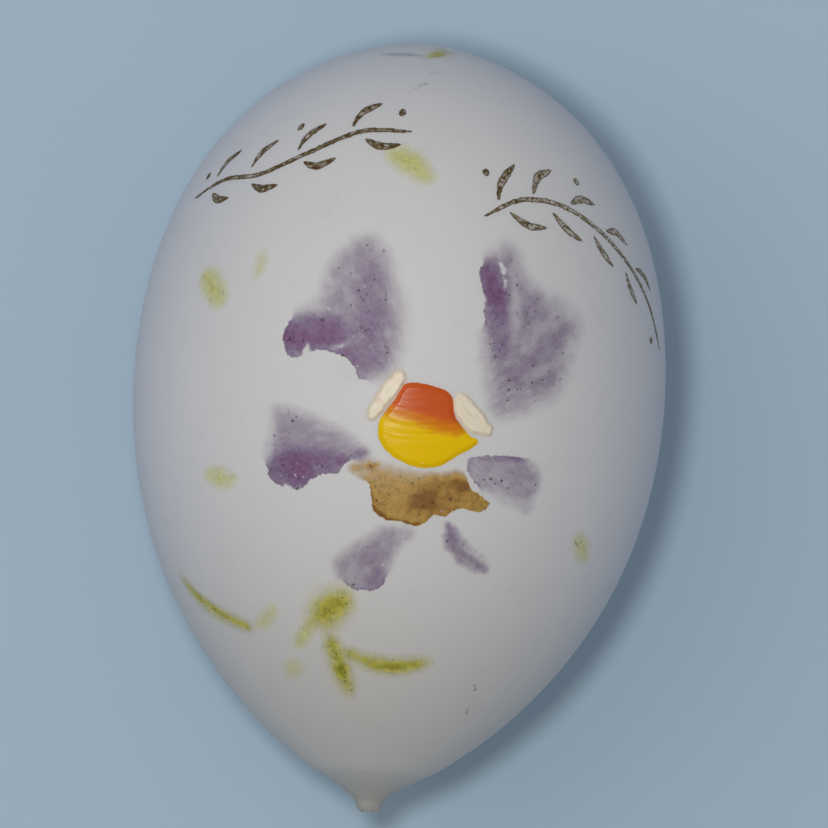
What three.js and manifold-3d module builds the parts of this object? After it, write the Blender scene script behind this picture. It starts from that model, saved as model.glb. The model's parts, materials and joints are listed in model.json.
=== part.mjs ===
// A hand-blown opal-glass Easter egg with a painted pansy, lying on its side.
// Millimetres, +Z up. The blunt end points along +Y, the narrow end with the blowpipe stub along -Y,
// and the painted side is on top. The origin is under the egg's middle, on the surface it lies on.
import * as THREE from 'three';
import Module from 'manifold-3d';
import { mergeVertices } from 'three/addons/utils/BufferGeometryUtils.js';

const wasm = await Module();
wasm.setup();

// Driving dimensions of the blown body
const BODY_LENGTH = 150.4;
const MIDDLE_RADIUS = 52.4; // at half the body's length, close to its widest point
const BLUNT_POWER = 0.566; // 0.5 would close the blunt end like a circle
const NARROW_POWER = 0.858; // 1 would close the narrow end like a cone
const NARROW_FILL = -0.19; // moves fullness towards the narrow half
const SHOULDER_FILL = 0.177; // adds fullness near both ends

// Glass thickness, and the stub where the egg was cracked off the blowpipe
const WALL = 2.3;
const BLUNT_END_WALL = 2.6;
const NARROW_END_WALL = 3.6;
const CAVITY_LIFT = 0.3; // the glass sagged while hot, so it is thicker underneath
const STUB_RADIUS = 2.8;
const STUB_FACE_RADIUS = 1.5;
const STUB_CORNER_RADIUS = 2.2;
const STUB_REACH = 1.6; // how far the stub stands out of the body's narrow end
const STUB_ROUNDING = 1.8; // length of the stub's rounded edge
const STUB_FLARE = 6.5; // length of the hollow curve from the stub to the body
const FLARE_KNEE_RADIUS = 3.9; // where the lines along the flare's two ends meet
const FLARE_KNEE = 2.1; // from the flare's start to that place
const BLOW_HOLE_RADIUS = 1.1;

// Paint lies on the glass as separate films
const FILM_GAP = 0.3;
const FILM_THICKNESS = 0.3;

// Fineness of the faceted surfaces
const BODY_SEGMENTS = 44;
const BODY_STEPS = 44;
const CAVITY_SEGMENTS = 32;
const CAVITY_STEPS = 20;
const STUB_STEPS = 5;
const HOLE_SEGMENTS = 12;
const PATCH_RINGS = 4;
const PATCH_EDGE_STEPS = 32;
const STROKE_STEP = 2; // mm between a brush stroke's cross-lines
const PITCH_STEP = 0.01; // degrees, when the rest position is searched
const MOST_PITCH = 10; // degrees

const halfLength = BODY_LENGTH / 2;

const glass = new THREE.MeshStandardMaterial({ color: '#dcdad8', roughness: 0.45, metalness: 0 });
const violet = new THREE.MeshStandardMaterial({ color: '#7c6484', roughness: 0.7, metalness: 0 });
const ochre = new THREE.MeshStandardMaterial({ color: '#a9803a', roughness: 0.6, metalness: 0 });
const orange = new THREE.MeshStandardMaterial({ color: '#d9861c', roughness: 0.3, metalness: 0 });
const cream = new THREE.MeshStandardMaterial({ color: '#eee3c8', roughness: 0.4, metalness: 0 });
const green = new THREE.MeshStandardMaterial({ color: '#8f9330', roughness: 0.7, metalness: 0 });
const paleGreen = new THREE.MeshStandardMaterial({ color: '#cfcf9a', roughness: 0.7, metalness: 0 });
const lilac = new THREE.MeshStandardMaterial({ color: '#9a90a4', roughness: 0.7, metalness: 0 });
const gilt = new THREE.MeshStandardMaterial({ color: '#5f4520', roughness: 0.4, metalness: 0.7 });

// The egg's outline: its radius at a distance along the axis from the middle, towards the blunt end
function eggRadius(along, half, middleRadius) {
  const u = THREE.MathUtils.clamp(along / half, -1, 1);
  const ends = (1 - u) ** BLUNT_POWER * (1 + u) ** NARROW_POWER;
  return middleRadius * ends * (1 + NARROW_FILL * u + SHOULDER_FILL * u * u);
}

function bodyRadius(along) {
  return eggRadius(along, halfLength, MIDDLE_RADIUS);
}

// Points along an egg outline, closer together towards the ends
function outlinePoints(from, half, middleRadius, centre, steps) {
  return Array.from({ length: steps + 1 }, (_, i) => {
    const along = from + ((half - from) * (1 - Math.cos((Math.PI * i) / steps))) / 2;
    return new THREE.Vector2(i === steps ? 0 : eggRadius(along, half, middleRadius), centre + along);
  });
}

// The lathe turns about Y. It starts half a segment round, so a facet's middle is at the very bottom.
function turned(points, segments) {
  return new THREE.LatheGeometry(points, segments, Math.PI / segments);
}

function stubPoints() {
  const tip = -halfLength - STUB_REACH;
  const shoulder = tip + STUB_ROUNDING;
  const join = shoulder + STUB_FLARE;
  const path = new THREE.Path();
  path.moveTo(STUB_FACE_RADIUS, tip);
  path.quadraticCurveTo(STUB_CORNER_RADIUS, tip, STUB_RADIUS, shoulder);
  path.quadraticCurveTo(FLARE_KNEE_RADIUS, shoulder + FLARE_KNEE, bodyRadius(join), join);
  return { join, points: [new THREE.Vector2(0, tip), ...path.getPoints(STUB_STEPS)] };
}

function solid(geometry) {
  const bare = geometry.clone();
  bare.deleteAttribute('normal');
  bare.deleteAttribute('uv');
  const merged = mergeVertices(bare, 1e-4);
  const triangles = [];
  for (let i = 0; i < merged.index.count; i += 3) {
    const corners = [0, 1, 2].map((k) => merged.index.getX(i + k));
    if (new Set(corners).size === 3) triangles.push(...corners);
  }
  return new wasm.Manifold(
    new wasm.Mesh({
      numProp: 3,
      vertProperties: new Float32Array(merged.attributes.position.array),
      triVerts: new Uint32Array(triangles),
    }),
  );
}

function geometryOf(body) {
  const mesh = body.getMesh();
  const geometry = new THREE.BufferGeometry();
  geometry.setAttribute('position', new THREE.BufferAttribute(mesh.vertProperties, 3));
  geometry.setIndex(new THREE.BufferAttribute(mesh.triVerts, 1));
  geometry.computeVertexNormals();
  return geometry;
}

function shellGeometry() {
  const stub = stubPoints();
  const body = outlinePoints(stub.join, halfLength, MIDDLE_RADIUS, 0, BODY_STEPS);
  const outside = turned([...stub.points, ...body.slice(1)], BODY_SEGMENTS);

  const cavityHalf = halfLength - (BLUNT_END_WALL + NARROW_END_WALL) / 2;
  const cavityCentre = (NARROW_END_WALL - BLUNT_END_WALL) / 2;
  const cavityRadius = MIDDLE_RADIUS - WALL;
  const cavityPoints = outlinePoints(-cavityHalf, cavityHalf, cavityRadius, cavityCentre, CAVITY_STEPS);
  const cavity = turned(cavityPoints, CAVITY_SEGMENTS).translate(0, 0, CAVITY_LIFT);

  const holeLength = 4 * NARROW_END_WALL;
  const hole = new THREE.CylinderGeometry(BLOW_HOLE_RADIUS, BLOW_HOLE_RADIUS, holeLength, HOLE_SEGMENTS);
  hole.translate(0, -halfLength, 0);
  return geometryOf(solid(outside).subtract(solid(cavity)).subtract(solid(hole)));
}

// A place on the glass: degrees around the axis from the top line, millimetres along the axis from the
// middle, and a height above the surface
function onGlass([around, along], height) {
  const reach = 0.01;
  const slope = (bodyRadius(along + reach) - bodyRadius(along - reach)) / (2 * reach);
  const tilt = Math.atan(slope);
  const radius = bodyRadius(along) + height * Math.cos(tilt);
  const angle = THREE.MathUtils.degToRad(around);
  return [radius * Math.sin(angle), along - height * Math.sin(tilt), radius * Math.cos(angle)];
}

// Closes a film: a lid of triangles over the places, the same lid below it, and walls round the rim
function filmGeometry(places, lid, rim) {
  const low = places.length;
  const top = places.flatMap((place) => onGlass(place, FILM_GAP + FILM_THICKNESS));
  const bottom = places.flatMap((place) => onGlass(place, FILM_GAP));
  const underside = lid.map(([a, b, c]) => [a + low, c + low, b + low]);
  const walls = rim.flatMap((a, i) => {
    const b = rim[(i + 1) % rim.length];
    return [[a, a + low, b + low], [a, b + low, b]];
  });
  const geometry = new THREE.BufferGeometry();
  geometry.setAttribute('position', new THREE.Float32BufferAttribute([...top, ...bottom], 3));
  geometry.setIndex([...lid, ...underside, ...walls].flat());
  geometry.computeVertexNormals();
  return geometry;
}

function smoothPoints(points, closed, count) {
  const curve = new THREE.CatmullRomCurve3(points.map(([x, y]) => new THREE.Vector3(x, y, 0)), closed);
  return curve.getSpacedPoints(count).map((point) => [point.x, point.y]);
}

// A wash or dab with a smooth closed outline
function patchGeometry(corners) {
  const edge = smoothPoints(corners, true, PATCH_EDGE_STEPS).slice(0, PATCH_EDGE_STEPS);
  const runsClockwise = THREE.ShapeUtils.isClockWise(edge.map(([x, y]) => new THREE.Vector2(x, y)));
  if (runsClockwise) edge.reverse();
  const centre = [0, 1].map((k) => edge.reduce((sum, place) => sum + place[k], 0) / edge.length);
  const places = [];
  for (let ring = 0; ring < PATCH_RINGS; ring++) {
    const share = 1 - ring / PATCH_RINGS;
    places.push(...edge.map((place) => centre.map((c, k) => c + (place[k] - c) * share)));
  }
  places.push(centre);
  const last = places.length - 1;
  const count = edge.length;
  const lid = [];
  for (let i = 0; i < count; i++) {
    const next = (i + 1) % count;
    for (let ring = 0; ring < PATCH_RINGS - 1; ring++) {
      const outer = ring * count;
      const inner = outer + count;
      lid.push([outer + i, outer + next, inner + next], [outer + i, inner + next, inner + i]);
    }
    lid.push([last - count + i, last - count + next, last]);
  }
  return filmGeometry(places, lid, edge.map((_, i) => i));
}

// A brush stroke of a given width along a smooth line. taper 1 makes a pointed leaf, and less than
// that a blunter stroke.
function strokeGeometry(line, width, taper) {
  const leastShare = 0.25;
  const degree = (Math.PI / 180) * bodyRadius(line[0][1]);
  const flat = line.map(([around, along]) => [around * degree, along]);
  const length = new THREE.CatmullRomCurve3(flat.map(([x, y]) => new THREE.Vector3(x, y, 0))).getLength();
  const steps = Math.max(4, Math.ceil(length / STROKE_STEP));
  const middle = smoothPoints(flat, false, steps);
  const places = middle.flatMap(([x, y], i) => {
    const [beforeX, beforeY] = middle[Math.max(i - 1, 0)];
    const [afterX, afterY] = middle[Math.min(i + 1, steps)];
    const run = Math.hypot(afterX - beforeX, afterY - beforeY);
    const u = i / steps;
    const half = (width / 2) * Math.max((4 * u * (1 - u)) ** taper, leastShare);
    const acrossX = (-(afterY - beforeY) / run) * half;
    const acrossY = ((afterX - beforeX) / run) * half;
    return [1, -1].map((side) => [(x + side * acrossX) / degree, y + side * acrossY]);
  });
  const lid = [];
  for (let i = 0; i < steps; i++) {
    const left = 2 * i;
    lid.push([left, left + 1, left + 3], [left, left + 3, left + 2]);
  }
  const rights = middle.map((_, i) => 2 * i + 1);
  const lefts = middle.map((_, i) => 2 * i).reverse();
  return filmGeometry(places, lid, [...rights, ...lefts]);
}

// The egg settles where its centre of mass is lowest
function restPitch(geometry) {
  const centre = massCentre(geometry);
  const corner = new THREE.Vector3();
  const position = geometry.attributes.position;
  let best = { height: Infinity };
  for (let degrees = 0; degrees < MOST_PITCH; degrees += PITCH_STEP) {
    const pitch = THREE.MathUtils.degToRad(degrees);
    const upward = (point) => point.y * Math.sin(pitch) + point.z * Math.cos(pitch);
    let lowest = Infinity;
    for (let i = 0; i < position.count; i++) {
      lowest = Math.min(lowest, upward(corner.fromBufferAttribute(position, i)));
    }
    const height = upward(centre) - lowest;
    if (height < best.height) best = { height, pitch, lowest };
  }
  return best;
}

function massCentre(geometry) {
  const [a, b, c] = [0, 1, 2].map(() => new THREE.Vector3());
  const sum = new THREE.Vector3();
  let volume = 0;
  const { index, attributes } = geometry;
  for (let i = 0; i < index.count; i += 3) {
    [a, b, c].forEach((corner, k) => corner.fromBufferAttribute(attributes.position, index.getX(i + k)));
    const wedge = a.dot(new THREE.Vector3().crossVectors(b, c)) / 6;
    volume += wedge;
    sum.addScaledVector(a.add(b).add(c), wedge / 4);
  }
  return sum.divideScalar(volume);
}

// The pansy: washes and dabs, each an outline of [around, along] places
const flowerPatches = {
  petal_upper_left: [violet, [
    [-1.4, 11.6], [-4.6, 8.8], [-8.6, 8.2], [-10, 10.4], [-13, 12.4], [-19, 13], [-22.4, 11.4],
    [-25, 11.8], [-26.6, 14.4], [-26, 18], [-22, 21], [-18.6, 23.6], [-18, 29], [-14, 34],
    [-9, 35.6], [-5, 33], [-2, 27], [0.6, 19],
  ]],
  petal_upper_right: [violet, [
    [22, 3.2], [19.8, 7], [18.4, 14], [17.4, 21], [17.4, 26], [16.2, 31], [19.8, 34.4], [25, 36],
    [27.4, 30.6], [30.6, 28], [36.4, 26.2], [41.6, 22.2], [39.6, 17], [38, 12], [35, 7.8], [28, 4.6],
  ]],
  petal_side_left: [violet, [
    [-5.6, -6.6], [-8, -4.2], [-12.8, -1.8], [-17, -0.2], [-21.5, 1], [-26.8, 1.4], [-27.8, -3],
    [-29, -8], [-28.6, -12], [-26, -14], [-21.3, -14.3], [-19, -12.8], [-16, -11.1], [-11.6, -10.2],
    [-10.2, -8],
  ]],
  petal_side_right: [violet, [
    [18, -10.4], [20.4, -11.9], [23.4, -13], [27.6, -14.2], [32.6, -15], [33.6, -11.6], [33.8, -8.2],
    [31.6, -6], [28, -4.7], [22, -4.8], [16, -5.9], [16.3, -8.4],
  ]],
  petal_lower_left: [violet, [
    [2, -20.3], [-1.4, -20.4], [-5, -22.4], [-9.6, -25], [-12.6, -28], [-10.4, -32], [-4.5, -33.2],
    [-0.5, -31.8], [0.8, -28], [2.8, -24], [6, -20.8],
  ]],
  beard_wash: [ochre, [
    [-9.4, -9.2], [-7, -8], [-3.6, -7.7], [1.9, -8.8], [7.5, -9.2], [11.9, -9.2], [14, -8.2],
    [15.8, -9.4], [17.3, -11.2], [19.6, -12.6], [22.4, -14], [20.8, -16], [15.5, -15.7], [12.6, -17.2],
    [9.2, -17.6], [7.2, -19.5], [1.7, -19], [-1, -19], [-3.8, -17.2], [-4.6, -14.2], [-5.4, -12],
    [-7.6, -10.4],
  ]],
  flower_eye: [orange, [
    [1.3, 7.6], [5.8, 7.8], [8.2, 7.3], [11, 6.2], [11.5, 4.4], [12.2, 1.9], [14, 0], [15.8, -1.6],
    [17.6, -2.1], [16.2, -3.7], [14, -4.8], [12, -6.1], [10, -7.3], [6, -7.9], [2.8, -7.4],
    [0.2, -6.3], [-2.3, -4.6], [-3.5, -2], [-3.4, 0.2], [-2, 2.5], [-0.2, 5],
  ]],
  throat_dab_left: [cream, [
    [-0.3, 10.5], [-2.3, 8.8], [-4.7, 5.6], [-6, 3], [-6.3, 0.6], [-5, 0.4], [-3, 2.5], [-1, 5.1],
    [0.7, 7.8], [1.2, 9.6],
  ]],
  throat_dab_right: [cream, [
    [12.4, 6.3], [13.3, 6.9], [14.8, 6.4], [17.2, 4.2], [18.9, 2.9], [19.7, 1.5], [20.8, 0.8],
    [20.4, -1.1], [18.6, -0.7], [16.6, -0.8], [14.6, 0.6], [12.9, 2.2], [12, 4.2],
  ]],
  leaf_dark: [green, [
    [-11, -34], [-17, -35.6], [-19.6, -39], [-16, -40.6], [-12.4, -39], [-10, -36],
  ]],
};

// Brush strokes: material, width, taper and a line of [around, along] places
const strokes = {
  petal_lower_right: [violet, 4.2, 0.35, [[13.4, -18.8], [15.2, -22], [19.4, -25], [25.6, -27.2]]],
  blade_left: [green, 2.2, 0.5, [[-66, -33.5], [-61, -37], [-52, -40], [-42, -42]]],
  leaf_pale: [paleGreen, 1.6, 0.6, [[-38.5, -41.8], [-35, -40.4], [-31.5, -38]]],
  leaf_tail: [paleGreen, 1.8, 0.6, [[-20.4, -40.2], [-23, -42.4], [-26.5, -45]]],
  blade_down: [green, 3.2, 0.5, [[-15, -43], [-13, -48], [-10.5, -53.5]]],
  blade_right: [green, 2.4, 0.5, [[-10, -45.4], [-4, -46.9], [4, -47.5], [15, -46.3]]],
  speck_top: [paleGreen, 2.6, 0.6, [[-7, 52.6], [-2, 51.4], [3, 48.8]]],
  speck_left: [paleGreen, 3, 0.5, [[-51, 26], [-48, 24.4], [-44.6, 21.8]]],
  speck_left_faint: [paleGreen, 1.8, 0.5, [[-35.6, 31], [-35.4, 29], [-35.8, 27]]],
  speck_low_left: [paleGreen, 2.4, 0.5, [[-45.5, -12.4], [-42.4, -13.2], [-38.8, -13]]],
  speck_low_right: [paleGreen, 2.2, 0.5, [[49, -20], [51.6, -21.4], [54.6, -23.6]]],
  speck_tip: [paleGreen, 2, 0.5, [[-33, -50.6], [-30.4, -49.6], [-27.6, -48.8]]],
  curl_line: [lilac, 0.9, 0.3, [[-36, 72.3], [-18, 72.5], [-2, 72.6]]],
  curl_leaf: [green, 1.1, 0.5, [[3, 72.3], [10, 73], [20, 73.6], [34, 74]]],
  curl_tip: [lilac, 0.5, 0.3, [[40, 74.1], [50, 74.2], [60, 74.2]]],
};

// The gilt sprigs: a stem with pointed leaves on both sides, and dots between them
const GILT_STEM_WIDTH = 1.1;
const GILT_LEAF_WIDTH = 1.6;
const GILT_DOT_WIDTH = 1.5;
const giltSprigs = {
  left: {
    stem: [[-69, 41.4], [-58, 45.4], [-45, 46.8], [-32, 51.6], [-18, 56.6], [-2, 57.4]],
    leaves: [
      [[-62.5, 46], [-62, 48.6], [-58, 51.4]],
      [[-60.5, 42.6], [-56.6, 41.4], [-52.4, 41.8]],
      [[-49, 48.2], [-48.4, 51], [-44.6, 53.8]],
      [[-45.8, 44.8], [-41.6, 44], [-37.2, 45]],
      [[-35.4, 52.2], [-34.6, 55], [-30.4, 57.6]],
      [[-31.8, 49.8], [-27.4, 49.2], [-22.8, 51]],
      [[-21, 57.6], [-19.6, 60.4], [-14, 62.4]],
      [[-15.6, 55.2], [-10.6, 54], [-5, 54.6]],
    ],
    dots: [[-68, 46], [-39, 56.8], [-6, 61]],
  },
  right: {
    stem: [[18, 41.8], [28, 45.4], [40, 45.2], [51, 41.6], [62, 35.2], [71, 27.2], [77, 18.4]],
    leaves: [
      [[22, 45.2], [23.6, 48.6], [28.8, 52.4]],
      [[25, 42.8], [29.4, 40.6], [34.6, 40.4]],
      [[32.6, 47], [35.4, 50.2], [41, 51.8]],
      [[37.6, 43.4], [41, 40.4], [45.4, 38.4]],
      [[44.6, 45.6], [49, 46.6], [54, 45.8]],
      [[50, 39.6], [52.2, 36.6], [55.4, 34]],
      [[56, 40.8], [60.4, 40.6], [64.6, 38.4]],
      [[60.6, 33], [61.6, 29.8], [64, 27]],
      [[66.4, 33.8], [70.6, 32.8], [74, 29.8]],
    ],
    dots: [[19.6, 50.4], [49.6, 50], [70.6, 20]],
  },
};

const egg = new THREE.Group();

function add(name, geometry, material) {
  const mesh = new THREE.Mesh(geometry, material);
  mesh.name = name;
  egg.add(mesh);
}

function addGiltSprig(side, { stem, leaves, dots }) {
  add(`gilt_stem_${side}`, strokeGeometry(stem, GILT_STEM_WIDTH, 0.2), gilt);
  leaves.forEach((leaf, i) => {
    add(`gilt_leaf_${side}_${i + 1}`, strokeGeometry(leaf, GILT_LEAF_WIDTH, 0.7), gilt);
  });
  dots.forEach(([around, along], i) => {
    const reach = GILT_DOT_WIDTH / 2;
    const line = [[around, along - reach], [around, along], [around, along + reach]];
    add(`gilt_dot_${side}_${i + 1}`, strokeGeometry(line, GILT_DOT_WIDTH, 0.4), gilt);
  });
}

const shell = shellGeometry();
add('glass_shell', shell, glass);
for (const [name, [material, corners]] of Object.entries(flowerPatches)) {
  add(name, patchGeometry(corners), material);
}
for (const [name, [material, width, taper, line]] of Object.entries(strokes)) {
  add(name, strokeGeometry(line, width, taper), material);
}
for (const [side, sprig] of Object.entries(giltSprigs)) addGiltSprig(side, sprig);

// Lay the egg down, with its lowest point at z = 0 and the middle of its length over the origin
const { pitch, lowest } = restPitch(shell);
egg.rotation.x = pitch;
egg.position.z = -lowest;
egg.updateMatrixWorld(true);
const box = new THREE.Box3().setFromObject(egg, true);
egg.position.y = -(box.min.y + box.max.y) / 2;

export default egg;
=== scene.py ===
import json
import math
from dataclasses import dataclass

import bpy
import numpy as np
from mathutils import Matrix, Vector, geometry, noise


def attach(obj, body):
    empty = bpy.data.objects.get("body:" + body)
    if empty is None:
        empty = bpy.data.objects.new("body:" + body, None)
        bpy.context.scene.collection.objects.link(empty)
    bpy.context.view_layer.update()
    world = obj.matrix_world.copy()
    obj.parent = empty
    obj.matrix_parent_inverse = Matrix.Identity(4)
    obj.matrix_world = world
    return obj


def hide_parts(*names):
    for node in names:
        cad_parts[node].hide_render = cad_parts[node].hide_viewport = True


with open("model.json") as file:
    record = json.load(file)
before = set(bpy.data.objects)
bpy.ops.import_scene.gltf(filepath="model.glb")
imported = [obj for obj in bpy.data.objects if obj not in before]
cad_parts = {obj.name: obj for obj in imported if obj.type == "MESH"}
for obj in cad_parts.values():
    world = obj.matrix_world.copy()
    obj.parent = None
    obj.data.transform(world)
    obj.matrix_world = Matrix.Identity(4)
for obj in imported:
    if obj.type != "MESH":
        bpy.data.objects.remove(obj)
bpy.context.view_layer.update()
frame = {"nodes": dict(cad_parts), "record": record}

mm = 0.001

# The egg's outline, as the CAD model has it
BLUNT_POWER = 0.566
NARROW_POWER = 0.858
NARROW_FILL = -0.19
SHOULDER_FILL = 0.177
WALL = 2.3 * mm
BLUNT_END_WALL = 2.6 * mm
NARROW_END_WALL = 3.6 * mm
CAVITY_LIFT = 0.3 * mm
STUB_RADIUS = 2.8 * mm
STUB_FACE_RADIUS = 1.5 * mm
STUB_CORNER_RADIUS = 2.2 * mm
STUB_REACH = 1.6 * mm
STUB_ROUNDING = 1.8 * mm
STUB_FLARE = 6.5 * mm
FLARE_KNEE_RADIUS = 3.9 * mm
FLARE_KNEE = 2.1 * mm
BLOW_HOLE_RADIUS = 1.1 * mm

# Fineness of the meshes
GLASS_COLUMNS = 240
GLASS_ROWS = 280
CAVITY_ROWS = 60
STUB_ROWS = 15
SHARP_ANGLE = math.radians(50)
OUTLINE_STEP = 0.3 * mm
WIDTH_STEP = 0.8 * mm  # spacing of the points that a film's half width is measured at

# The glass's surface
WAVE_DEPTH = 0.16 * mm  # of the slow waves of a hand-blown wall
WAVES_AROUND = 1.3
POLE_REACH = 8 * mm  # the waves die out over this distance from the axis
AT_AXIS = 1e-4 * mm  # a ring narrower than this is a single point
HOLE_CHAMFER = 0.25 * mm
CHIP_DEPTH = 0.4 * mm  # of the broken stub's face

# Paint
FILM_LID_HEIGHT = 0.45 * mm  # a CAD film's upper lid lies above this height, and its lower one below
RIM_SINK = 0.02 * mm
ON_RIM = 0.001 * mm  # a point nearer the rim than this is on it
UNDERSIDE_SINK = 0.08 * mm
EDGE_BLEED = 0.05 * mm  # even a sharp edge fades from this far outside it
EDGE_FADE = 0.2 * mm  # to this far inside it
POOL_DEPTH = 0.8  # thickness that wet paint gathers along a sharp edge
POOL_WIDTH = 0.35 * mm
FLOWER_CENTRE = (6, -1)  # in degrees around and millimetres along, as every place in the tables below
EYE_PULL_CENTRE = (4, 22)  # the eye's brush marks bend round this place
PULL_LENGTH = 6  # how much longer than wide a brush mark is


# ---------------------------------------------------------------- the egg's surface

def outline(along, half, widest):
    """The egg's radius at distances along its axis from the middle."""
    u = np.clip(np.asarray(along) / half, -1, 1)
    ends = (1 - u) ** BLUNT_POWER * (1 + u) ** NARROW_POWER
    return widest * ends * (1 + NARROW_FILL * u + SHOULDER_FILL * u * u)


def measure_egg():
    """Where the egg lies and how big it is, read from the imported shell."""
    face_depth = 0.02 * mm
    samples = 2001
    points = np.array([v.co for v in frame["nodes"]["glass_shell"].data.vertices])
    far_from_stub = np.linalg.norm(points - points[points[:, 1].argmin()], axis=1)
    pole = points[far_from_stub.argmax()]
    reach = np.linalg.norm(points - pole, axis=1)
    stub_face = points[reach > reach.max() - face_depth].mean(0)
    length = np.linalg.norm(pole - stub_face)
    axis = (pole - stub_face) / length
    half = (length - STUB_REACH) / 2
    widest = np.ptp(points[:, 0]) / 2
    middle_radius = widest / outline(np.linspace(-1, 1, samples), 1, 1).max()
    return {
        "middle": pole - axis * half,
        "axis": axis,
        "right": np.array([1.0, 0, 0]),
        "up": np.array([0, -axis[2], axis[1]]),
        "half": half,
        "radius": middle_radius,
    }


egg = measure_egg()


def radius_at(along):
    return outline(along, egg["half"], egg["radius"])


def slope_at(along):
    """How fast the radius grows along the axis."""
    reach = 0.01 * mm
    return (radius_at(along + reach) - radius_at(along - reach)) / (2 * reach)


def unevenness(around, along):
    """How far the waves of the wall stand up or down at places on the glass."""
    heights = [
        noise.noise(Vector((math.sin(a) * WAVES_AROUND, math.cos(a) * WAVES_AROUND, s / egg["half"] * 2)))
        for a, s in zip(around, along)
    ]
    return WAVE_DEPTH * np.array(heights)


def on_glass(around, along, height):
    """Points at a height above the glass, at angles around the axis and distances along it."""
    tilt = np.arctan(slope_at(along))
    lift = height + unevenness(around, along)
    radius = radius_at(along) + lift * np.cos(tilt)
    return in_frame(radius, around, along - lift * np.sin(tilt))


def in_frame(radius, around, along):
    """Points at radii from the axis, at angles around it and distances along it."""
    across = np.outer(radius * np.sin(around), egg["right"])
    upward = np.outer(radius * np.cos(around), egg["up"])
    return egg["middle"] + across + upward + np.outer(along, egg["axis"])


def place_on_map(around, along):
    """A single place given in degrees and millimetres."""
    return np.array([math.radians(around)]), np.array([along * mm])


def on_map(points):
    """The places around and along the egg below points in the frame, and their heights above it."""
    from_middle = points - egg["middle"]
    rightward = from_middle @ egg["right"]
    upward = from_middle @ egg["up"]
    along = from_middle @ egg["axis"]
    tilt = np.arctan(slope_at(along))
    height = (np.hypot(rightward, upward) - radius_at(along)) * np.cos(tilt)
    return np.arctan2(rightward, upward), along + height * np.sin(tilt), height


# ---------------------------------------------------------------- meshes and nodes

def new_piece(name, points, faces, material, slot, *nodes):
    """An object with a mesh of its own, which stands for CAD nodes."""
    mesh = bpy.data.meshes.new(name)
    mesh.from_pydata([tuple(p) for p in points], [], [tuple(int(i) for i in f) for f in faces])
    mesh.validate()
    mesh.shade_smooth()
    mesh.set_sharp_from_angle(angle=SHARP_ANGLE)
    mesh.materials.append(material)
    piece = bpy.data.objects.new(name, mesh)
    bpy.context.scene.collection.objects.link(piece)
    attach(piece, "root")
    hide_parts(*nodes)
    return piece


def new_material(name):
    """A material, its nodes and its shader."""
    material = bpy.data.materials.new(name)
    material.use_nodes = True
    tree = material.node_tree
    return material, tree, tree.nodes["Principled BSDF"]


def add(tree, kind, inputs=None, **settings):
    """A shader node. An input is a number, a colour or another node's output."""
    made = tree.nodes.new("ShaderNode" + kind)
    for name, value in settings.items():
        setattr(made, name, value)
    for name, value in (inputs or {}).items():
        if isinstance(value, bpy.types.NodeSocket):
            tree.links.new(value, made.inputs[name])
        else:
            made.inputs[name].default_value = value
    return made


def calculate(tree, operation, *values, clamp=False):
    """The result of a sum on numbers or other nodes' outputs."""
    inputs = dict(enumerate(values))
    return add(tree, "Math", inputs, operation=operation, use_clamp=clamp).outputs[0]


def step_up(tree, value, low, high):
    """0 below low, 1 above high, and smooth between."""
    inputs = {"Value": value, "From Min": low, "From Max": high}
    return add(tree, "MapRange", inputs, interpolation_type="SMOOTHSTEP").outputs[0]


def mixed(tree, share, first, second):
    """The first colour where the share is 0, and the second where it is 1."""
    inputs = {0: share, 6: first, 7: second}
    return add(tree, "Mix", inputs, data_type="RGBA").outputs[2]


def object_place(tree):
    return add(tree, "TexCoord").outputs["Object"]


def grain(tree, vector, size, detail=3.0, roughness=0.55, distortion=0.0):
    """Noise from 0 to 1 whose features are about size metres."""
    inputs = {
        "Vector": vector, "Scale": 1 / size, "Detail": detail,
        "Roughness": roughness, "Distortion": distortion,
    }
    return add(tree, "TexNoise", inputs).outputs["Fac"]


def attribute(tree, name):
    return add(tree, "Attribute", attribute_name=name)


def bump(tree, height, distance, strength=1.0):
    inputs = {"Height": height, "Distance": distance, "Strength": strength}
    return add(tree, "Bump", inputs).outputs["Normal"]


def colour(red, green, blue):
    """An sRGB colour from 0 to 255 as linear light."""
    return (*[(c / 255) ** 2.2 for c in (red, green, blue)], 1)


# ---------------------------------------------------------------- the blown glass

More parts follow.
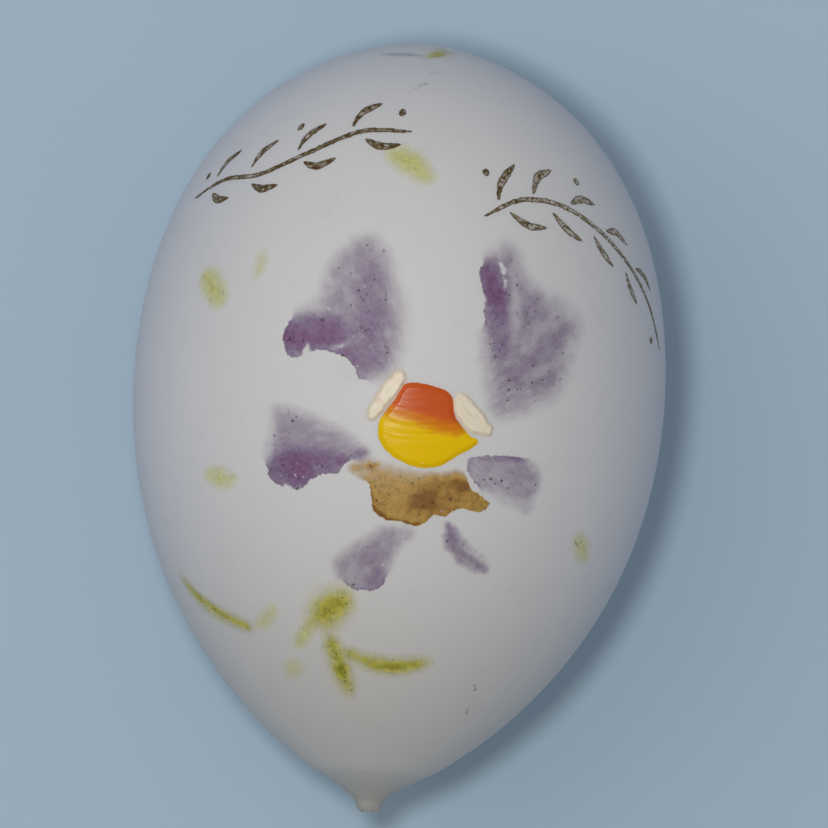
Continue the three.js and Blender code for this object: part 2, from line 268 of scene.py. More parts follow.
def glass_material():
    """Satin opal glass: white, with a painted lilac reflection down the sides that turn away from straight
    up, and painted shade, warmer and darker, towards the stub.
    """
    material, tree, shader = new_material("opal_glass")
    place = object_place(tree)
    along = calculate(tree, "DIVIDE", add(tree, "SeparateXYZ", {0: place}).outputs["Y"], egg["half"])
    clouds = grain(tree, place, 30 * mm, detail=2)
    smudges = step_up(tree, grain(tree, place, 9 * mm, detail=5, roughness=0.65), 0.56, 0.78)
    dust = step_up(tree, grain(tree, place, 0.7 * mm, detail=2), 0.70, 0.78)
    # Painted shade: the glass is coloured warmer and darker towards the narrow end, and darker still at the
    # stub's tip.
    narrow_end_shade = step_up(tree, calculate(tree, "MULTIPLY", along, -1), 0.1, 1.0)
    tip = step_up(tree, calculate(tree, "MULTIPLY", along, -1), 0.88, 1.0)

    white = mixed(tree, clouds, colour(225, 224, 221), colour(220, 220, 220))
    # Painted reflection: faces that turn away from straight up are tinted lilac-blue, as a bluish surround
    # would light them.
    upright = add(tree, "SeparateXYZ", {0: add(tree, "TexCoord").outputs["Normal"]}).outputs["Z"]
    side = calculate(tree, "SUBTRACT", 1, step_up(tree, upright, 0.1, 0.85))
    painted_side_reflection = mixed(tree, calculate(tree, "MULTIPLY", side, 0.4), white, colour(206, 208, 226))
    # Painted shade towards the narrow end, then darker still at the stub.
    warm = mixed(tree, calculate(tree, "MULTIPLY", narrow_end_shade, 0.75), painted_side_reflection, colour(204, 198, 186))
    thick = mixed(tree, calculate(tree, "MULTIPLY", tip, 0.8), warm, colour(158, 158, 150))
    smudged = mixed(tree, calculate(tree, "MULTIPLY", smudges, 0.10), thick, colour(150, 146, 138))
    worn = mixed(tree, calculate(tree, "MULTIPLY", dust, 0.12), smudged, colour(120, 115, 105))
    for start, end, width, strength in scuffs:
        mark = scuff(tree, place, start, end, width)
        worn = mixed(tree, calculate(tree, "MULTIPLY", mark, strength), worn, colour(112, 110, 112))
    tree.links.new(worn, shader.inputs["Base Color"])

    satin = add(tree, "MapRange", {"Value": smudges, "To Min": 0.58, "To Max": 0.68}).outputs[0]
    tree.links.new(satin, shader.inputs["Roughness"])
    shader.inputs["IOR"].default_value = 1.5
    shader.inputs["Specular IOR Level"].default_value = 0.3
    shader.inputs["Subsurface Weight"].default_value = 0.35
    shader.inputs["Subsurface Radius"].default_value = (1.0, 0.95, 0.9)
    shader.inputs["Subsurface Scale"].default_value = 2.5 * mm

    frosting = grain(tree, place, 0.5 * mm, detail=3)
    ripples = grain(tree, place, 14 * mm, detail=1)
    fine = bump(tree, frosting, 0.02 * mm, 0.5)
    waves = add(tree, "Bump", {"Height": ripples, "Distance": 0.25 * mm, "Strength": 0.6, "Normal": fine})
    tree.links.new(waves.outputs["Normal"], shader.inputs["Normal"])
    return material


# Rubs on the glass: two ends as (around, along) places, a width and a strength
scuffs = [
    ((35.3, -50), (36.8, -51.2), 0.7 * mm, 0.7),
    ((38.6, -54.4), (40.3, -56), 0.8 * mm, 0.6),
    ((48.4, -20.4), (50.8, -21.6), 0.6 * mm, 0.7),
    ((-4, 65.3), (1.8, 67.1), 1.3 * mm, 0.35),
    ((4.6, 69), (9, 69.5), 1.4 * mm, 0.2),
    ((150, 12), (162, 20), 1.2 * mm, 0.4),
    ((-118, -8), (-109, -16), 0.9 * mm, 0.4),
]


def scuff(tree, place, start, end, width):
    """1 on a ragged rub between two places on the glass, and 0 away from it."""
    start, end = (Vector(on_glass(*place_on_map(*p), 0)[0]) for p in (start, end))
    side = end - start
    from_start = add(tree, "VectorMath", {0: place, 1: start}, operation="SUBTRACT").outputs[0]
    reach = add(tree, "VectorMath", {0: from_start, 1: side}, operation="DOT_PRODUCT").outputs["Value"]
    share = calculate(tree, "MULTIPLY", reach, 1 / side.dot(side), clamp=True)
    nearest = add(tree, "VectorMath", {0: side, "Scale": share}, operation="SCALE").outputs[0]
    distance = add(tree, "VectorMath", {0: from_start, 1: nearest}, operation="DISTANCE").outputs["Value"]
    ragged = calculate(tree, "MULTIPLY_ADD", grain(tree, place, 0.9 * mm, detail=4), 2 * width, distance)
    return calculate(tree, "SUBTRACT", 1, step_up(tree, ragged, 0.8 * width, 1.5 * width))


def stub_profile():
    """The outside of the blowpipe stub, from the hole's edge to where it meets the body."""
    tip = -egg["half"] - STUB_REACH
    shoulder = tip + STUB_ROUNDING
    join = shoulder + STUB_FLARE
    shares = np.linspace(0, 1, STUB_ROWS)[:, None]
    hole_edge = [BLOW_HOLE_RADIUS, tip + HOLE_CHAMFER]
    rounding = quadratic((STUB_FACE_RADIUS, tip), (STUB_CORNER_RADIUS, tip), (STUB_RADIUS, shoulder), shares)
    knee = (FLARE_KNEE_RADIUS, shoulder + FLARE_KNEE)
    flare = quadratic((STUB_RADIUS, shoulder), knee, (radius_at(join), join), shares)
    return np.vstack([hole_edge, rounding, flare[1:]]), join


def quadratic(start, control, end, shares):
    """Points of a quadratic curve at shares of its run."""
    start, control, end = map(np.array, (start, control, end))
    return (1 - shares) ** 2 * start + 2 * shares * (1 - shares) * control + shares ** 2 * end


def broken_stub(around, along):
    """How far the snapped-off stub's face stands up or down at places round it."""
    coarse_waves = 1.7
    fine_waves = 6
    fine_share = 0.4
    where = 4.2  # in the noise
    fade = np.clip((-egg["half"] + 0.6 * mm - along) / (2 * mm), 0, 1)
    steps = [
        noise.noise(Vector((math.sin(a) * coarse_waves, math.cos(a) * coarse_waves, where)))
        + fine_share * noise.noise(Vector((math.sin(a) * fine_waves, math.cos(a) * fine_waves, s / mm)))
        for a, s in zip(around, along)
    ]
    return CHIP_DEPTH * fade * np.array(steps)


def glass_egg():
    """The blown glass: its outside and its cavity as one closed skin, joined in the blow hole."""
    stub, join = stub_profile()
    turn = np.linspace(0, math.pi, GLASS_ROWS)[1:]
    body_along = join + (egg["half"] - join) * (1 - np.cos(turn)) / 2
    body = np.column_stack([radius_at(body_along), body_along])
    outside = np.vstack([stub, body])

    cavity_half = egg["half"] - (BLUNT_END_WALL + NARROW_END_WALL) / 2
    cavity_middle = (NARROW_END_WALL - BLUNT_END_WALL) / 2
    inner_along = cavity_half * np.cos(np.linspace(0, math.pi, CAVITY_ROWS))
    inner_radius = outline(inner_along, cavity_half, egg["radius"] - WALL)
    wide = inner_radius > BLOW_HOLE_RADIUS
    wide[0] = True
    inside = np.column_stack([inner_radius[wide], inner_along[wide] + cavity_middle])
    hole_end = (BLOW_HOLE_RADIUS, -egg["half"] + NARROW_END_WALL)
    inside = np.vstack([inside, hole_end])

    around = np.arange(GLASS_COLUMNS) * 2 * math.pi / GLASS_COLUMNS
    rings = []
    for i, (radius, along) in enumerate(np.vstack([outside, inside])):
        angles = np.zeros(1) if radius < AT_AXIS else around
        alongs = np.full(len(angles), along)
        share = min(1, radius / POLE_REACH)
        if i < len(outside):
            alongs = alongs + broken_stub(angles, alongs)
            points = in_frame(radius + unevenness(angles, alongs) * share, angles, alongs)
        else:
            points = in_frame(np.full(len(angles), radius), angles, alongs)
            points = points + CAVITY_LIFT * share * egg["up"]
        rings.append(points)
    points, faces = lathe_faces(rings)
    return new_piece("opal_glass_egg", points, faces, glass_material(), "opal_glass", "glass_shell")


def lathe_faces(rings):
    """Joins rings of points, the last to the first, into one closed skin. A ring may be a single pole."""
    starts = np.cumsum([0] + [len(ring) for ring in rings])
    faces = []
    for k, ring in enumerate(rings):
        following = (k + 1) % len(rings)
        here, there = starts[k], starts[following]
        count, next_count = len(ring), len(rings[following])
        for i in range(max(count, next_count)):
            j = (i + 1) % max(count, next_count)
            corners = [here + i % count, there + i % next_count, there + j % next_count, here + j % count]
            face = list(dict.fromkeys(corners))
            if len(face) > 2:
                faces.append(face[::-1])
    return np.vstack(rings), faces


# ---------------------------------------------------------------- paint films

def film_edge(node):
    """The edge of a CAD film's upper lid, as places around and along the egg in order round it."""
    mesh = frame["nodes"][node].data
    points = np.array([v.co for v in mesh.vertices])
    welded, index = np.unique(points.round(6), axis=0, return_inverse=True)
    index = index.ravel()
    around, along, height = on_map(welded)
    upper = height > FILM_LID_HEIGHT
    sides = set()
    for polygon in mesh.polygons:
        corners = [index[i] for i in polygon.vertices]
        if upper[corners].all():
            sides.update(zip(corners, corners[1:] + corners[:1]))
    following = {a: b for a, b in sides if (b, a) not in sides}
    loop = [min(following)]
    while following[loop[-1]] != loop[0]:
        loop.append(following[loop[-1]])
    return around[loop], along[loop]


def flat_map(around, along):
    """Two functions between places on the egg and a flat map of one film, true to scale at its middle."""
    middle_around, middle_along = around.mean(), along.mean()
    radius = radius_at(middle_along)
    stretch = math.hypot(1, slope_at(middle_along))

    def to_flat(a, s):
        return np.column_stack([(a - middle_around) * radius, (s - middle_along) * stretch])

    def to_egg(flat):
        return flat[:, 0] / radius + middle_around, flat[:, 1] / stretch + middle_along

    return to_flat, to_egg


def smooth_loop(points, spacing):
    """A closed Catmull-Rom curve through the points, at an even spacing."""
    steps = 12
    fewest = 12
    t = np.arange(steps)[:, None] / steps
    before, after, beyond = (np.roll(points, k, axis=0) for k in (1, -1, -2))
    dense = np.vstack([
        p + t * (q - o) / 2 + t ** 2 * (o - 2.5 * p + 2 * q - r / 2) + t ** 3 * (1.5 * (p - q) + (r - o) / 2)
        for o, p, q, r in zip(before, points, after, beyond)
    ])
    closed = np.vstack([dense, dense[:1]])
    run = np.concatenate([[0], np.cumsum(np.linalg.norm(np.diff(closed, axis=0), axis=1))])
    count = max(fewest, int(run[-1] / spacing))
    places = np.arange(count) * run[-1] / count
    return np.column_stack([np.interp(places, run, closed[:, k]) for k in (0, 1)])


def normals_of(loop):
    """Unit vectors pointing out of a counter-clockwise loop."""
    tangent = np.roll(loop, -1, axis=0) - np.roll(loop, 1, axis=0)
    outward = np.column_stack([tangent[:, 1], -tangent[:, 0]])
    return outward / np.linalg.norm(outward, axis=1)[:, None]


def depth_inside(points, loop):
    """Distance of each point from the loop, positive inside it."""
    start, end = loop, np.roll(loop, -1, axis=0)
    side = end - start
    rel = points[:, None] - start[None]
    share = np.clip((rel * side).sum(2) / (side ** 2).sum(1), 0, 1)
    distance = np.linalg.norm(rel - share[..., None] * side, axis=2).min(1)
    x, y = points[:, :1], points[:, 1:]
    straddles = (start[:, 1] > y) != (end[:, 1] > y)
    with np.errstate(divide="ignore", invalid="ignore"):
        crossing = start[:, 0] + (y - start[:, 1]) / side[:, 1] * side[:, 0]
    inside = (straddles & (x < crossing)).sum(1) % 2 == 1
    return np.where(inside, distance, -distance)


def fill(loop, spacing):
    """Points inside the loop and the triangles over it. The loop's own points come first."""
    low, high = loop.min(0), loop.max(0)
    rows = np.arange(low[1], high[1], spacing * math.sqrt(3) / 2)
    columns = [np.arange(low[0] + (k % 2) * spacing / 2, high[0], spacing) for k in range(len(rows))]
    lattice = np.vstack([np.column_stack([x, np.full(len(x), y)]) for x, y in zip(columns, rows)])
    kept = lattice[depth_inside(lattice, loop) > 0.45 * spacing]
    everything = [Vector(p) for p in np.vstack([loop, kept]) / mm]
    ring = list(range(len(loop)))
    inside_only = 1
    points, _, triangles, *_ = geometry.delaunay_2d_cdt(everything, [], [ring], inside_only, 1e-5)
    return np.array([tuple(p) for p in points]) * mm, triangles


def smoothstep(values, low, high):
    share = np.clip((values - low) / (high - low), 0, 1)
    return share * share * (3 - 2 * share)


def waver(points, size, seed):
    """Smooth noise from -1 to 1 at flat points, with features about size metres across."""
    return np.array([noise.noise(Vector((x / size, y / size, seed))) for x, y in points])


def off_line(points, start, end):
    """Distance of points from the line between two others."""
    side = end - start
    share = np.clip((points - start) @ side / (side @ side), 0, 1)
    return np.linalg.norm(points - start - share[:, None] * side, axis=1)


@dataclass
class Coat:
    """One kind of paint, as the brush laid it and as the years left it."""
    step: float  # spacing of the mesh's points
    lift: float  # height of the thinnest paint above the glass
    body: float = 0  # how much the paint stands up away from its edge
    shoulder: float = 1 * mm  # distance over which it gets there
    growth: float = 0  # how far every edge runs past the line
    spread: float = 0  # how far a soft edge fades out past that, as a share of the film's half width
    feather: float = 0  # the whole width of that fade, as the same share
    wobble: float = 0.1 * mm  # how ragged the line is
    base: float = 0  # thickness of the paint everywhere, where 1 is a wash's usual one
    ridges: float = 0  # height of the brush's ridges
    ridge_size: float = 0.7 * mm


coats = {
    "violet_wash": Coat(
        step=0.35 * mm, lift=0.04 * mm, spread=0.26, feather=0.62, wobble=0.5 * mm, base=0.5,
    ),
    "ochre_wash": Coat(
        step=0.3 * mm, lift=0.06 * mm, body=0.08 * mm, spread=0.2, feather=0.6, wobble=0.4 * mm, base=1.15,
    ),
    "green_wash": Coat(
        step=0.3 * mm, lift=0.05 * mm, spread=1.5, feather=3, wobble=0.4 * mm, base=0.6,
    ),
    "pale_green_wash": Coat(
        step=0.4 * mm, lift=0.03 * mm, spread=1.8, feather=3.2, wobble=0.6 * mm, base=0.9,
    ),
    "lilac_line": Coat(
        step=0.2 * mm, lift=0.03 * mm, spread=0.5, feather=2.5, wobble=0.15 * mm, base=0.6,
    ),
    "eye_paint": Coat(
        step=0.2 * mm, lift=0.02 * mm, body=0.4 * mm, shoulder=1.1 * mm, growth=0.35 * mm, wobble=0.16 * mm,
        base=1, ridges=0.04 * mm, ridge_size=1.1 * mm,
    ),
    "cream_paint": Coat(
        step=0.16 * mm, lift=0.02 * mm, body=0.62 * mm, shoulder=0.7 * mm, growth=0.2 * mm,
        wobble=0.3 * mm, base=1, ridges=0.11 * mm, ridge_size=1 * mm,
    ),
    "gilt": Coat(
        step=0.16 * mm, lift=0.02 * mm, body=0.07 * mm, shoulder=0.25 * mm, wobble=0.22 * mm, base=1,
        ridges=0.03 * mm, ridge_size=0.35 * mm,
    ),
}

# Where each wash lies thicker or thinner than its base. A load is one pull of the brush: its two ends as
# (around, along) places, its width in millimetres and what it adds. Less than 0 is paint worn off.
brush_loads = {
    "petal_upper_left": [
        ((-25, 14.8), (-17, 16), 3, 1.3),
        ((-24, 17.4), (-9, 17.6), 3.6, 0.4),
        ((-13, 13), (-7, 11.6), 2.4, 0.7),
        ((-8, 27), (-7, 14), 2.8, 0.4),
        ((-14, 29), (-13, 23), 2, -0.12),
        ((-2, 30), (1.5, 16), 3, -0.2),
        ((-20, 21.6), (-14.6, 20.8), 1, -0.3),
        ((-20.9, 12.6), (-20.9, 10), 0.6, -4),
        ((-21.2, 13.6), (-20.9, 12.6), 0.35, -2.5),
        ((-19.4, 12.7), (-18, 13.2), 0.3, -1.6),
        ((-17, 13.5), (-13, 14.4), 0.45, -1.1),
        ((-13, 14.4), (-9, 16.2), 0.7, -0.6),
    ],
    "petal_upper_right": [
        ((19.2, 31.4), (20.2, 25.6), 2.1, 1.5),
        ((20.2, 25), (20.6, 17), 2.2, 0.6),
        ((22, 9), (36, 20), 1.6, 0.16),
        ((21.4, 14), (28.4, 23), 1.2, 0.14),
        ((28, 24), (31, 27), 1.5, 0.15),
        ((24, 7), (34, 11), 1.4, 0.12),
        ((24.4, 30), (25, 18), 1.2, -0.25),
        ((27, 16), (34.6, 23.6), 1, -0.2),
        ((30, 11.4), (39, 17), 1.1, -0.15),
        ((34, 26), (41, 22), 2, -0.2),
        ((21.4, 32.8), (21.8, 31.2), 0.45, -1.4),
        ((22.4, 29.4), (22.2, 28), 0.4, -0.9),
        ((17.4, 25.6), (17.8, 23.8), 0.5, -1.6),
    ],
    "petal_side_left": [
        ((-25, -10.8), (-20, -11), 2.8, 1.5),
        ((-22, -8.4), (-12, -8), 2.2, 0.75),
        ((-11, -7.6), (-6.6, -6.4), 1, 0.7),
        ((-27.6, -2), (-28.6, -8), 1.2, -0.2),
        ((-24.2, -14.2), (-23.2, -14.6), 0.4, -2),
    ],
    "petal_side_right": [
        ((17, -5.8), (30, -4.9), 0.4, 0.4),
        ((17, -8), (23, -8.4), 2.4, -0.12),
        ((22, -12.8), (32, -13.6), 1.6, -0.3),
    ],
    "petal_lower_left": [
        ((-3, -26), (-2.6, -31), 1.8, 0.3),
        ((-7, -26), (-8, -30), 3, -0.1),
    ],
    "petal_lower_right": [
        ((13.6, -19.4), (15.4, -21.8), 1.2, 0.35),
        ((16, -23.4), (25, -27.6), 0.7, 0.2),
        ((18.4, -23.4), (26.4, -26.4), 0.7, -0.35),
    ],
    "beard_wash": [
        ((5, -14.4), (8.6, -15), 1.8, 1.2),
        ((11, -10.4), (15, -11), 2, 1.3),
        ((8, -12), (12, -15), 2.5, 0.4),
        ((-4.6, -13), (-4.4, -16.4), 0.3, 1.6),
        ((-4.4, -16.4), (-1, -18.6), 0.35, 2.4),
        ((-1, -18.8), (6, -19.2), 0.35, 2.4),
        ((-6, -8.6), (11, -9), 2.2, -0.75),
        ((-4, -12), (0, -13), 2.4, -0.3),
        ((-7.4, -8.8), (-3.4, -8.2), 0.35, 1.6),
        ((-5.8, -7.8), (-4, -9.4), 0.25, 1.4),
    ],
    "leaf_dark": [((-15.8, -38), (-11.4, -35.6), 2.2, 1.4)],
    "blade_left": [((-64, -34.8), (-54.5, -38.9), 0.6, 1.0), ((-54.5, -38.9), (-43, -41.9), 0.6, 1.2)],
    "blade_down": [((-14.3, -44), (-12.6, -48.6), 1.2, 1.1), ((-12.6, -48.6), (-11.2, -52), 1.2, 0.9)],
    "blade_right": [((-9, -45.8), (-1, -47.4), 0.9, 0.7), ((2, -47.5), (11, -46.8), 1.3, 1.3)],
    "curl_leaf": [((3, 72.3), (34, 74), 6, -0.3), ((4, 72.4), (22, 73.7), 0.5, 1.3)],
    "leaf_pale": [((-38.5, -41.8), (-31.5, -38), 4, -0.5)],
    "leaf_tail": [((-20.4, -40.2), (-26.5, -45), 4, -0.35)],
    "speck_tip": [((-33, -50.6), (-27.6, -48.8), 4, -0.6)],
    "speck_left_faint": [((-35.6, 31), (-35.8, 27), 4, -0.55)],
    "speck_low_left": [((-45.5, -12.4), (-38.8, -13), 4, -0.3)],
    "speck_low_right": [((49, -20), (54.6, -23.6), 4, -0.35)],
}

# Stretches of an outline, as (around, along) places, where the brush stopped and the paint ends sharply
hard_edges = {
    "petal_upper_left": [((-26.4, 18), (-26.4, 13)), ((-26.4, 12), (-13, 12.5)), ((-13, 12.5), (-9, 8.4))],
    "petal_upper_right": [((16, 31), (18, 22))],
    "petal_side_left": [((-28.6, -11.5), (-26, -14)), ((-26, -14), (-20, -14)), ((-20, -14), (-10.2, -9.4))],
    "petal_side_right": [((15.6, -6), (17.6, -10.4)), ((16, -5.4), (27, -4.6))],
    "petal_lower_left": [((-9, -33), (-4.5, -33.2)), ((-4.5, -33.2), (-0.5, -31.5))],
    "beard_wash": [
        ((-4.8, -13), (-4.8, -16)), ((-4.8, -16), (-1, -19.2)), ((-1, -19.2), (14, -17)),
        ((17.4, -11.4), (22.4, -14)), ((22.4, -14), (16, -16)),
    ],
}
HARD_EDGE_REACH = 2.6 * mm


def from_pull(flat, to_flat, start, end):
    """Distance of flat points from the line between two (around, along) places."""
    return off_line(flat, to_flat(*place_on_map(*start))[0], to_flat(*place_on_map(*end))[0])


def softness(flat, to_flat, node):
    """1 where a film's edge fades out, and 0 where it ends sharply."""
    hard = np.zeros(len(flat))
    for start, end in hard_edges.get(node, []):
        hard = np.maximum(hard, np.exp(-(from_pull(flat, to_flat, start, end) / HARD_EDGE_REACH) ** 4))
    return 1 - hard


def brushed(flat, to_flat, node, base, seed):
    """How thick the brush laid a film's paint at flat points."""
    ragged = 0.5 * waver(flat, 0.8 * mm, seed + 7) + 0.9 * waver(flat, 3 * mm, seed + 8)
    thickness = np.full(len(flat), float(base))
    for start, end, width, load in brush_loads.get(node, []):
        distance = np.maximum(from_pull(flat, to_flat, start, end) / mm + ragged, 0)
        thickness += load * np.exp(-(distance / width) ** 2)
    return thickness


def ridged(inside, brush, coat, seed):
    """Height of the paint above the glass at distances inside its rim."""
    marks = brush / coat.ridge_size
    ridge = waver(marks, 1, seed + 3) + 0.4 * waver(marks, 0.4, seed + 5)
    shoulder = smoothstep(inside, 0, coat.shoulder)
    height = coat.lift + coat.body * shoulder + coat.ridges * ridge * shoulder
    return np.where(inside < ON_RIM, -RIM_SINK, height)


def paint_film(node, slot, material, seed):
    """The closed film of paint that stands for a CAD film."""
    coat = coats[slot]
    around, along = film_edge(node)
    to_flat, to_egg = flat_map(around, along)
    line = smooth_loop(to_flat(around, along), OUTLINE_STEP)
    half_width = depth_inside(fill(line, WIDTH_STEP)[0], line).max()
    spread = coat.spread * half_width
    feather = coat.feather * half_width

    outward = normals_of(line)
    shift = coat.wobble * (0.7 * waver(line, 1.6 * mm, seed) + 0.7 * waver(line, 0.5 * mm, seed))
    edge = line + outward * (coat.growth + shift)[:, None]
    rim = edge + outward * (spread * softness(line, to_flat, node))[:, None]
    flat, triangles = fill(rim, coat.step)
    around, along = to_egg(flat)

    depth = depth_inside(flat, edge)
    soft = softness(flat, to_flat, node)
    fade = smoothstep(depth, -spread * soft - EDGE_BLEED, (feather - spread) * soft + EDGE_FADE)
    pooled = POOL_DEPTH * (1 - soft) * np.exp(-(depth / POOL_WIDTH) ** 2)
    pigment = np.clip(brushed(flat, to_flat, node, coat.base, seed) + pooled, 0, None) * fade
    brush = brush_map(flat, slot, to_flat)
    height = ridged(depth_inside(flat, rim), brush, coat, seed)
    return closed_film(node, slot, material, around, along, height, triangles, {
        "pigment": pigment,
        "depth": depth,
        "brush": np.column_stack([brush, np.zeros(len(brush))]),
        "blend": eye_blend(around, along),
    })


def eye_blend(around, along):
    """0 where the eye is orange and 1 where it is yellow. The change sags rightward; the tail is yellow."""
    turn = np.degrees(around)
    tail = np.maximum(turn - 12.5, 0)
    change = (1.8 - 0.2 * turn + 0.6 * tail) * mm
    return smoothstep(change - along, -4.6 * mm, 4 * mm)


def brush_map(flat, slot, to_flat):
    """Places across and along the pulls of the brush, in metres, drawn together along them."""
    if slot in ("violet_wash", "ochre_wash"):
        turn, reach = round_point(flat, to_flat(*place_on_map(*FLOWER_CENTRE))[0])
        return np.column_stack([turn * 16 * mm, reach / PULL_LENGTH])
    if slot == "eye_paint":
        turn, reach = round_point(flat, to_flat(*place_on_map(*EYE_PULL_CENTRE))[0])
        return np.column_stack([reach, turn * 20 * mm / PULL_LENGTH])
    from_middle = flat - flat.mean(0)
    across, lengthwise = np.linalg.eigh(from_middle.T @ from_middle)[1].T
    return np.column_stack([from_middle @ across, from_middle @ lengthwise / PULL_LENGTH])


def round_point(flat, centre):
    """Angles of flat points round a centre, from the direction of their middle, and their distances."""
    from_centre = flat - centre
    facing = flat.mean(0) - centre
    sideways = from_centre[:, 0] * facing[1] - from_centre[:, 1] * facing[0]
    return np.arctan2(sideways, from_centre @ facing), np.linalg.norm(from_centre, axis=1)


def closed_film(node, slot, material, around, along, height, triangles, values):
    """A film with its upper side at the given heights and its underside just below the glass's surface."""
    count = len(around)
    upper = on_glass(around, along, height)
    lower = on_glass(around, along, np.full(count, -UNDERSIDE_SINK))
    faces = [tuple(t) for t in triangles]
    faces += [tuple(i + count for i in reversed(t)) for t in triangles]
    sides = {(a, b) for t in triangles for a, b in zip(t, (*t[1:], t[0]))}
    faces += [(b, a, a + count, b + count) for a, b in sides if (b, a) not in sides]
    piece = new_piece(node + "_paint", np.vstack([upper, lower]), faces, material, slot, node)
    for name, value in values.items():
        kind, field = ("FLOAT", "value") if value.ndim == 1 else ("FLOAT_VECTOR", "vector")
        layer = piece.data.attributes.new(name, kind, "POINT")
        layer.data.foreach_set(field, np.concatenate([value, value]).ravel())
    return piece


# ---------------------------------------------------------------- paint materials

def spots(tree, vector, spacing, size, crowding):
    """Irregular spots up to size metres across, in more of the cells where crowding is nearer 1."""
    shake = add(tree, "TexNoise", {"Vector": vector, "Scale": 1.5 / size, "Detail": 3.0}).outputs["Color"]
    reach = (1.6 * size,) * 3
    shaken = add(tree, "VectorMath", {0: shake, 1: reach, 2: vector}, operation="MULTIPLY_ADD")
    cells = add(tree, "TexVoronoi", {"Vector": shaken.outputs[0], "Scale": 1 / spacing})
    chance = add(tree, "SeparateXYZ", {0: cells.outputs["Color"]})
    chosen = step_up(tree, calculate(tree, "MULTIPLY_ADD", crowding, 0.6, chance.outputs["X"]), 0.93, 0.97)
    radius = calculate(tree, "MULTIPLY_ADD", chance.outputs["Y"], 0.4 * size / spacing, 0.15 * size / spacing)
    nearness = calculate(tree, "DIVIDE", cells.outputs["Distance"], radius)
    within = calculate(tree, "SUBTRACT", 1, step_up(tree, nearness, 0.7, 1.1))
    return calculate(tree, "MULTIPLY", chosen, within)


def wash_material(name, thin, thick, speck, cover, streaks, dirt):
    """Thin oil paint gone patchy: clouds, bristle streaks, dark meal, grit, bare chips that are partly wear
    and partly painted glints, a fading edge.
    """
    material, tree, shader = new_material(name)
    place = object_place(tree)
    pigment = attribute(tree, "pigment").outputs["Fac"]
    brush = attribute(tree, "brush").outputs["Vector"]
    there = step_up(tree, pigment, 0.02, 0.4)
    clouds = grain(tree, place, 4 * mm, detail=7, roughness=0.68, distortion=0.4)
    bristles = grain(tree, brush, 0.9 * mm, detail=5, roughness=0.65)
    mottle = calculate(tree, "MULTIPLY_ADD", bristles, streaks, calculate(tree, "MULTIPLY", clouds, 2))
    uneven = calculate(tree, "MAXIMUM", calculate(tree, "SUBTRACT", mottle, streaks / 2), 0.1)
    amount = calculate(tree, "MULTIPLY", pigment, uneven)
    through = calculate(tree, "EXPONENT", calculate(tree, "MULTIPLY", amount, -cover))
    film = calculate(tree, "SUBTRACT", 1, through)

    patches = step_up(tree, grain(tree, place, 5 * mm, detail=2), 0.42, 0.66)
    crowding = calculate(tree, "MULTIPLY", patches, calculate(tree, "MULTIPLY", pigment, dirt), clamp=True)
    grit = calculate(tree, "MULTIPLY", there, spots(tree, place, 1.1 * mm, 0.7 * mm, crowding))
    dust = calculate(tree, "MULTIPLY", there, spots(tree, place, 0.6 * mm, 0.4 * mm, crowding))
    specks = calculate(tree, "MAXIMUM", grit, dust)
    # Bare chips, partly wear and partly painted glints: pale spots where the paint lets the white glass show
    # through.
    chips_and_painted_glints = spots(tree, place, 1.3 * mm, 0.6 * mm, crowding)
    mealy = step_up(tree, grain(tree, place, 1.1 * mm, detail=4, roughness=0.7), 0.36, 0.72)

    tint = mixed(tree, step_up(tree, amount, 0.5, 2.6), thin, thick)
    grimy = mixed(tree, calculate(tree, "MULTIPLY", mealy, 0.42), tint, speck)
    specked = mixed(tree, calculate(tree, "MULTIPLY", specks, 0.8), grimy, speck)
    tree.links.new(specked, shader.inputs["Base Color"])
    whole = calculate(tree, "MULTIPLY", film, calculate(tree, "MULTIPLY_ADD", chips_and_painted_glints, -0.8, 1))
    opacity = calculate(tree, "MAXIMUM", whole, calculate(tree, "MULTIPLY", specks, 0.8))
    tree.links.new(opacity, shader.inputs["Alpha"])
    rough = add(tree, "MapRange", {"Value": amount, "To Min": 0.6, "To Max": 0.38}).outputs[0]
    tree.links.new(rough, shader.inputs["Roughness"])
    relief = calculate(tree, "ADD", calculate(tree, "MULTIPLY_ADD", mealy, 0.4, clouds), specks)
    tree.links.new(bump(tree, relief, 0.14 * mm, 0.8), shader.inputs["Normal"])
    return material


